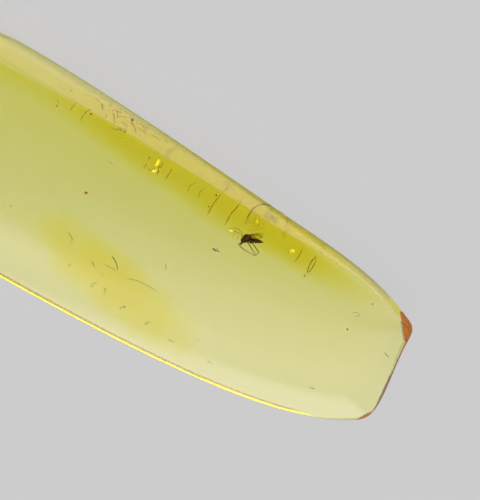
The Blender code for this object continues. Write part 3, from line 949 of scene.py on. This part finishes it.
def add_ball(shape, middle, radii, turn=0.0, rough=0.0, level=3, seed=0.0):
    """Add a round closed blob, with an uneven skin where rough isn't zero."""
    ball = bmesh.ops.create_icosphere(shape, subdivisions=level, radius=1.0)["verts"]
    spin = Matrix.Rotation(radians(turn), 3, "Z")
    for vert in ball:
        swell = 1 + rough * noise.noise(vert.co * BALL_PITCH + Vector((seed, 0, 0)))
        vert.co = Vector(middle) + spin @ Vector([c * r * swell for c, r in zip(vert.co, radii)])


def add_plate(shape, grid):
    """Add a closed plate, from rows of places that each have half the plate's thickness as a vector."""
    near = [[shape.verts.new(place + half) for place, half in row] for row in grid]
    far = [[shape.verts.new(place - half) for place, half in row] for row in grid]
    rows, columns = len(grid), len(grid[0])
    for row in range(rows - 1):
        for column in range(columns - 1):
            for sheet, step in ((near, 1), (far, -1)):
                corners = sheet[row][column:column + 2] + sheet[row + 1][column:column + 2][::-1]
                shape.faces.new(corners[::step])
    rim = [(0, column) for column in range(columns)]
    rim += [(row, columns - 1) for row in range(1, rows)]
    rim += [(rows - 1, column) for column in range(columns - 2, -1, -1)]
    rim += [(row, 0) for row in range(rows - 2, 0, -1)]
    for (row, column), (next_row, next_column) in zip(rim, rim[1:] + rim[:1]):
        shape.faces.new((
            near[row][column], far[row][column], far[next_row][next_column], near[next_row][next_column],
        ))


def patchy_material(name, colours, patches, rough, grain=None):
    """A material in two colours, mixed by a noise. Its roughness is a number or goes by another noise."""
    nodes = new_material(name)
    nodes.surface("Base Color", nodes.mix(nodes.patches(*patches), *colours))
    nodes.surface("Roughness", nodes.patches(*rough) if isinstance(rough, tuple) else rough)
    if grain:
        nodes.surface("Normal", nodes.bump(nodes.noise(*grain[0]), grain[1]))
    return nodes


# ---- Cracks and flakes ----


def sheet_place(line, index, depth, seed):
    """A place on a fissure's sheet below a point of its line, and half the sheet's thickness there."""
    place = line[index]
    along = line[min(index + 1, len(line) - 1)] - line[max(index - 1, 0)]
    beside = Vector((-along.y, along.x, 0)).normalized()
    reach = depth * (SHEET_ENDS + (1 - SHEET_ENDS) * sin(pi * index / (len(line) - 1)))
    ripple = noise.noise(Vector((place.x * SHEET_PITCH, place.y * SHEET_PITCH, reach + seed)))
    return place + beside * SHEET_SWAY * reach * ripple - Vector((0, 0, reach)), beside * SHEET_HALF_THICKNESS


def make_fissures():
    """Fine cracks that stand up in the amber: a brown line along the top and a faint sheet below."""
    lines = bmesh.new()
    sheets = bmesh.new()
    for order, (top, depth, width, pixels) in enumerate(FISSURES):
        points = []
        for x, y in pixels:
            rise = FISSURE_UNEVEN * noise.noise(Vector((x, y, order)) * FISSURE_PITCH)
            points.append(at_pixel(x, y, top - rise))
        line = smooth_line(points, LINE_STEPS)
        add_tube(lines, line, tapered(len(line), width * LINE_SHARE))
        add_plate(sheets, [
            [sheet_place(line, index, depth * row / SHEET_ROWS, order) for index in range(len(line))]
            for row in range(SHEET_ROWS + 1)
        ])
    finish_piece("fissure_lines", lines, fissure_line_material())
    finish_piece("fissure_sheets", sheets, fissure_sheet_material("fissure_sheets"))


def make_disc():
    rim = smooth_line([at_pixel(x, y, DISC_HEIGHT) for x, y in DISC_RIM], DISC_STEPS)
    shape = bmesh.new()
    add_tube(shape, rim, tapered(len(rim), DISC_RIM_RADIUS, *DISC_RIM_ENDS))
    finish_piece("disc_rim", shape, fissure_line_material())
    middle = at_pixel(*DISC_MIDDLE, DISC_HEIGHT)
    half = Vector((0, 0, DISC_HALF_THICKNESS))
    grid = []
    for row in range(DISC_ROWS + 1):
        spots = [middle.lerp(place, row / DISC_ROWS) for place in rim]
        sag = DISC_SAG * (1 - (row / DISC_ROWS) ** 2)
        falls = [sag + DISC_RIPPLE * noise.noise(spot * DISC_PITCH) for spot in spots]
        grid.append([(spot - Vector((0, 0, fall)), half) for spot, fall in zip(spots, falls)])
    dish = bmesh.new()
    add_plate(dish, grid)
    finish_piece("disc_sheet", dish, fissure_sheet_material("disc_sheet", DISC_FADE))


def make_flakes():
    """Small mirror-like flakes that catch the light, most of them next to the fissures."""
    shape = bmesh.new()
    tilt = Matrix.Rotation(radians(FLAKE_TILT), 3, towards(*FLAKE_SIDE, 90.0).cross(Vector((0, 0, -1))))
    for order, (x, y, height, wide, high, turn) in enumerate(FLAKES):
        spin = Matrix.Rotation(radians(PHOTO_TURN + turn), 3, "Z")
        for vert in bmesh.ops.create_icosphere(shape, subdivisions=3, radius=1.0)["verts"]:
            swell = 1 + FLAKE_RAGGED * noise.noise(vert.co * FLAKE_PITCH + Vector((order * 7.3, 0, 0)))
            flat = Vector((vert.co.x * wide * swell, vert.co.y * high * swell, 0)) * PHOTO_MM_PER_PIXEL / 2
            ripple = FLAKE_RIPPLE * noise.noise(vert.co * FLAKE_RIPPLE_PITCH)
            flat.z = vert.co.z * FLAKE_HALF_THICKNESS + ripple
            vert.co = at_pixel(x, y, height) + tilt @ spin @ flat
    material = patchy_material("flakes", FLAKE_COLOURS, *FLAKE_LOOK)
    material.surface("Metallic", 1.0)
    finish_piece("flakes", shape, material.owner)


def fissure_line_material():
    nodes = patchy_material("fissure_line", FISSURE_COLOURS, *FISSURE_LOOK)
    nodes.surface("Alpha", nodes.patches(*FISSURE_ALPHA))
    return nodes.owner


def fissure_sheet_material(name, fade=None):
    nodes = patchy_material(name, SHEET_COLOURS, *SHEET_LOOK)
    alpha = nodes.patches(*SHEET_ALPHA)
    nodes.surface("Alpha", nodes.times(alpha, nodes.ramp(nodes.across()[1], *fade)) if fade else alpha)
    return nodes.owner


# ---- Fly ----


def antenna_radii(count):
    """Radii along an antenna, thinner at its joints."""
    waves = [(1 + cos(2 * pi * ANTENNA_JOINTS * index / (count - 1))) / 2 for index in range(count)]
    return [ANTENNA_RADIUS * (1 - ANTENNA_JOINT_DEPTH * wave) for wave in waves]


def add_limb(shape, joints, radii, sides=8):
    """Add a limb through its joints, with a radius at each of them and a swelling between them."""
    line = smooth_line([Vector(joint) for joint in joints], LIMB_STEPS)
    widths = []
    for index in range(len(line)):
        place = index / LIMB_STEPS
        low = min(int(place), len(radii) - 2)
        share = place - low
        swell = LIMB_PINCH + LIMB_SWELL * sin(pi * share)
        widths.append((radii[low] + (radii[low + 1] - radii[low]) * share) * swell)
    add_tube(shape, line, widths, sides)


def add_bristle(shape, root, direction, length, bend):
    """Add one fine bristle, which curves as it goes."""
    root = Vector(root)
    along = Vector(direction).normalized()
    line = [root + along * length * t + Vector(bend) * length * t * t for t in BRISTLE_PLACES]
    add_tube(shape, line, BRISTLE_RADII, 4)


def fly_body():
    """Head, humped thorax and ringed hind body, with the mouth parts and the roots of the legs."""
    shape = bmesh.new()
    for seed, ((middle, radii), rough, level) in enumerate(BODY_BALLS, 1):
        add_ball(shape, middle, radii, rough=rough, level=level, seed=seed)
    for order, (x, y, radius, long) in enumerate(BODY_RINGS):
        add_ball(shape, (x, y, 0), (long, radius, radius * RING_FLATTENED), BODY_TURN, RING_ROUGH, 3, order)
    add_limb(shape, *PROBOSCIS)
    for side in (1, -1):
        joints, radii = PALP
        add_limb(shape, [(x, y, z * side) for x, y, z in joints], radii)
        for x, y in COXAE:
            add_ball(shape, (x, y, COXA_OUT * side), COXA_SIZE, COXA_TURN, COXA_ROUGH, 2, x)
    return shape


def fly_eyes():
    """Large eyes of many small domes."""
    shape = bmesh.new()
    middle, radii = EYE
    for side in (1, -1):
        for vert in bmesh.ops.create_icosphere(shape, subdivisions=5, radius=1.0)["verts"]:
            waves = [sin(c * EYE_DOMES + shift) for c, shift in zip(vert.co, EYE_DOME_SHIFT)]
            swell = 1 + EYE_DOME_HEIGHT * abs(waves[0] * waves[1] * waves[2])
            place = Vector((middle[0], middle[1], middle[2] * side))
            vert.co = place + Vector([c * r * swell for c, r in zip(vert.co, radii)])
    return shape


def add_leg(shape, joints, thick, side):
    """Add a leg with its bristles. The far one of a pair is moved along more and more towards its foot."""
    shift = Vector((0, 0, 0)) if side > 0 else Vector((*FAR_LEG_SHIFT, 0))
    count = len(joints) - 1
    places = [Vector((x, y, out * side)) + shift * index / count for index, (x, y, out) in enumerate(joints)]
    add_limb(shape, places, [thick * size for size in LEG_SIZES])
    lean, length, bend = LEG_BRISTLE
    for low, high in zip(places[1:], places[2:]):
        along = (high - low).normalized()
        for step in range(LEG_BRISTLES):
            root = low.lerp(high, (step + 0.5) / LEG_BRISTLES)
            out = along.cross(Vector((0, 0, 1))) * (1 if step % 2 else -1)
            add_bristle(shape, root, along + out * lean, length, along * bend)


def add_antenna(shape, joints):
    line = smooth_line([Vector(joint) for joint in joints], ANTENNA_STEPS)
    add_tube(shape, line, antenna_radii(len(line)))
    lean, length, bend = ANTENNA_BRISTLE
    for step in range(ANTENNA_BRISTLE_EVERY, len(line) - 1, ANTENNA_BRISTLE_EVERY):
        along = (line[step + 1] - line[step - 1]).normalized()
        for side in (1, -1):
            out = along.cross(Vector((0, 0, 1))) * side
            add_bristle(shape, line[step], along + out * lean, length, along * bend)


def fly_limbs():
    """Legs, antennae, balancers and the bristles of the body."""
    shape = bmesh.new()
    for side in (1, -1):
        for joints, thick in LEGS:
            add_leg(shape, joints, thick, side)
        stem, knob, knob_size = BALANCER
        add_limb(shape, [(x, y, z * side) for x, y, z in stem], BALANCER_RADII, 6)
        add_ball(shape, (knob[0], knob[1], knob[2] * side), knob_size, level=2)
    for joints in ANTENNAE:
        add_antenna(shape, joints)
    middle, radii = THORAX
    start, arc, lean, length, bend = BACK_BRISTLE
    for order in range(BACK_BRISTLES):
        turn = radians(start + arc * order / (BACK_BRISTLES - 1))
        for side in (1, -1):
            out = Vector((cos(turn), sin(turn), lean * side)).normalized()
            root = Vector(middle) + Vector([c * r for c, r in zip(out, radii)]) * BRISTLE_DEPTH
            add_bristle(shape, root, out + Vector((BACK_LEAN, 0, 0)), length, bend)
    for order in range(TAIL_BRISTLES):
        x, y, radius, long = BODY_RINGS[1 + order % (len(BODY_RINGS) - 1)]
        side = 1 if order % 2 else -1
        for up, length in TAIL_BRISTLE:
            root = (x, y + radius * TAIL_ROOT[0] * up, radius * TAIL_ROOT[1] * side)
            aim = (TAIL_AIM[0], TAIL_AIM[1] * up, TAIL_AIM[2] * side)
            add_bristle(shape, root, aim, length, (TAIL_BEND, -TAIL_BEND * up, 0))
    return shape


def wing_place(along, across, side, tilt):
    """A place on a wing, from its own plane to the fly's axes, with the wing's gentle camber and pleats."""
    hinge = Vector(WING_HINGE)
    hinge.z *= side
    share = min(max(along / WING_LENGTH, 0), 1)
    camber = WING_CAMBER * sin(pi * share) + WING_PLEAT * sin(across * WING_PLEATS)
    turn = Matrix.Rotation(radians(tilt), 4, "Z") @ Matrix.Rotation(radians(-WING_SPREAD * side), 4, "Y")
    return hinge + (turn @ Vector((along, across, camber * side)))


def wing_edges(along):
    """The upper and lower edge of a wing at a length along it."""
    share = min(max(along / WING_LENGTH, 0.0), 1.0)
    tip = max(0.0, 1 - share**WING_TIP) ** 0.5
    root = min(1.0, share * WING_ROOT[0]) ** WING_ROOT[1]
    stem, upper, lower = WING_WIDTHS
    belly = WING_BELLY + (1 - WING_BELLY) * sin(pi * share)
    return (stem + upper * root) * tip, -(stem + lower * root * belly) * tip


def fly_wings():
    """The membranes and the veins of two clear wings, folded back along the body."""
    membrane = bmesh.new()
    veins = bmesh.new()
    half = Vector((0, 0, MEMBRANE / 2))
    for side, tilt in zip((1, -1), WING_TILTS):
        grid = []
        for row in range(WING_ROWS + 1):
            along = WING_LENGTH * (row / WING_ROWS)
            high, low = wing_edges(along)
            places = [low + (high - low) * column / WING_COLUMNS for column in range(WING_COLUMNS + 1)]
            grid.append([(wing_place(along, across, side, tilt), half) for across in places])
        add_plate(membrane, grid)
        for thick, points in VEINS[: None if side > 0 else FAR_VEINS]:
            line = smooth_line([wing_place(x, y, side, tilt) for x, y in points], LINE_STEPS)
            add_tube(veins, line, tapered(len(line), thick, *VEIN_ENDS), 6)
    return membrane, veins


def cuticle_material(name, colours, roughness):
    rough = (CUTICLE_SHEEN_NOISE, 0.3, 0.7, roughness, roughness + CUTICLE_SHEEN)
    return patchy_material(name, colours, CUTICLE_PATCHES, rough, CUTICLE_GRAIN).owner


def wing_material():
    nodes = patchy_material("fly_wings", WING_COLOURS, *WING_LOOK)
    nodes.surface("Alpha", nodes.ramp(nodes.patches(*WING_LOOK[0]), *WING_ALPHA))
    return nodes.owner


def make_fly():
    """The fly, in pieces by what they are made of."""
    place = Matrix.Translation(FLY_PLACE) @ Matrix.Rotation(radians(FLY_TURN), 4, "Z")
    membrane, veins = fly_wings()
    parts = (
        ("fly_body", fly_body(), cuticle_material("fly_body", CUTICLE_COLOURS, 0.35)),
        ("fly_eyes", fly_eyes(), cuticle_material("fly_eyes", EYE_COLOURS, 0.2)),
        ("fly_limbs", fly_limbs(), cuticle_material("fly_limbs", LIMB_COLOURS, 0.4)),
        ("fly_veins", veins, cuticle_material("fly_veins", VEIN_COLOURS, 0.4)),
        ("fly_wings", membrane, wing_material()),
    )
    for name, shape, material in parts:
        shape.transform(place)
        piece = finish_piece(name, shape, material)
        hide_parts("fly")


# ---- Debris and hairs ----


def make_balls(name, spots, thick, turn, seed_step, colours):
    """Uneven grains by pixel, height, width and height, each turned further than the one before."""
    shape = bmesh.new()
    for order, (x, y, height, wide, high) in enumerate(spots):
        radii = (wide / 2, high / 2, min(wide, high) * thick)
        place = at_pixel(x, y, height)
        add_ball(shape, place, radii, PHOTO_TURN + turn * order, DEBRIS_RAGGED, 2, order * seed_step)
    finish_piece(name, shape, patchy_material(name, colours, *DEBRIS_LOOK).owner)


def make_threads(name, threads, ends, colours):
    """Fine round threads, each a line of places and a radius."""
    shape = bmesh.new()
    for places, radius in threads:
        line = smooth_line(places, LINE_STEPS)
        add_tube(shape, line, tapered(len(line), radius, *ends), 6)
    finish_piece(name, shape, patchy_material(name, colours, *DEBRIS_LOOK).owner)


def hair_place(x, y, height, seed):
    pitch = Vector((x * HAIR_SWAY_PITCH, y * HAIR_SWAY_PITCH, seed))
    return at_pixel(x, y, height + HAIR_SWAY * noise.noise(pitch))


def make_debris():
    make_balls("specks", SPECKS, SPECK_DEPTH, 0.0, 3.1, SPECK_COLOURS)
    make_balls("red_crumbs", RED_CRUMBS, CRUMB_DEPTH, CRUMB_TURN, 5.7, CRUMB_COLOURS)
    crackles = [
        ([at_pixel(x, y, CRACKLE_HEIGHT - CRACKLE_FALL * x) for x, y in pixels], CRACKLE_RADIUS)
        for pixels in CRACKLES
    ]
    make_threads("crackles", crackles, CRACKLE_ENDS, CRACKLE_COLOURS)
    hairs = [
        ([hair_place(x, y, height, order) for x, y in pixels], radius)
        for order, (height, radius, pixels) in enumerate(HAIRS)
    ]
    make_threads("hairs", hairs, HAIR_ENDS, HAIR_COLOURS)


# ---- Stage ----


def make_floor():
    bpy.ops.mesh.primitive_plane_add(size=FLOOR_SIZE, location=(0, 0, -FLOOR_DROP * MM))
    floor = bpy.context.object
    floor.name = "floor"
    nodes = new_material("floor")
    nodes.surface("Base Color", FLOOR_COLOUR)
    nodes.surface("Roughness", 1.0)
    nodes.surface("Specular IOR Level", 0.0)
    nodes.surface("Emission Color", FLOOR_GLOW_COLOUR)
    nodes.surface("Emission Strength", FLOOR_GLOW)
    floor.data.materials.append(nodes.owner)


def make_camera():
    camera = bpy.data.cameras.new("camera")
    camera.lens = CAMERA_LENS
    camera.sensor_width = CAMERA_SENSOR
    camera.clip_start = CAMERA_CLIP
    holder = bpy.data.objects.new("camera", camera)
    bpy.context.collection.objects.link(holder)
    right, up = photo_axes()
    axes = Matrix((right, up, Vector((0, 0, 1)))).transposed().to_4x4()
    place = at_pixel(PHOTO_SIZE[0] / 2, PHOTO_SIZE[1] / 2, FOCUS_HEIGHT)
    place.z += camera_distance()
    holder.matrix_world = Matrix.Translation(place * MM) @ axes
    bpy.context.scene.camera = holder


def towards(photo_right, photo_up, lean):
    """A direction that leans from straight up, by an angle, towards a side of the photograph."""
    right, up = photo_axes()
    side = (right * photo_right + up * photo_up).normalized()
    return side * sin(radians(lean)) + Vector((0, 0, cos(radians(lean))))


def make_light():
    """A soft white tent, dark straight above, with a few broad lamps behind it."""
    world = bpy.data.worlds.new("studio")
    nodes = Nodes(world)
    direction = nodes.add("ShaderNodeTexCoord").outputs["Generated"]
    glow = nodes.near(direction, (0, 0, 1), *DARK_TOP)
    glow = nodes.ramp(glow, 0.0, 1.0, TENT_GLOW, TOP_GLOW, kind="LINEAR")
    for side_right, side_up, lean, wide, narrow, strength in LAMPS:
        share = nodes.near(direction, towards(side_right, side_up, lean), wide, narrow)
        glow = nodes.plus(glow, nodes.times(share, strength))
    background = nodes.tree.nodes["Background"]
    background.inputs["Color"].default_value = LIGHT_COLOUR
    nodes.feed(background.inputs["Strength"], glow)
    scene = bpy.context.scene
    scene.world = world
    scene.view_settings.view_transform = "Standard"
    scene.cycles.max_bounces = LIGHT_BOUNCES
    scene.cycles.transmission_bounces = LIGHT_BOUNCES
    scene.cycles.blur_glossy = 0.0


make_amber()
make_fissures()
make_disc()
make_flakes()
make_debris()
make_fly()
make_floor()
make_camera()
make_light()
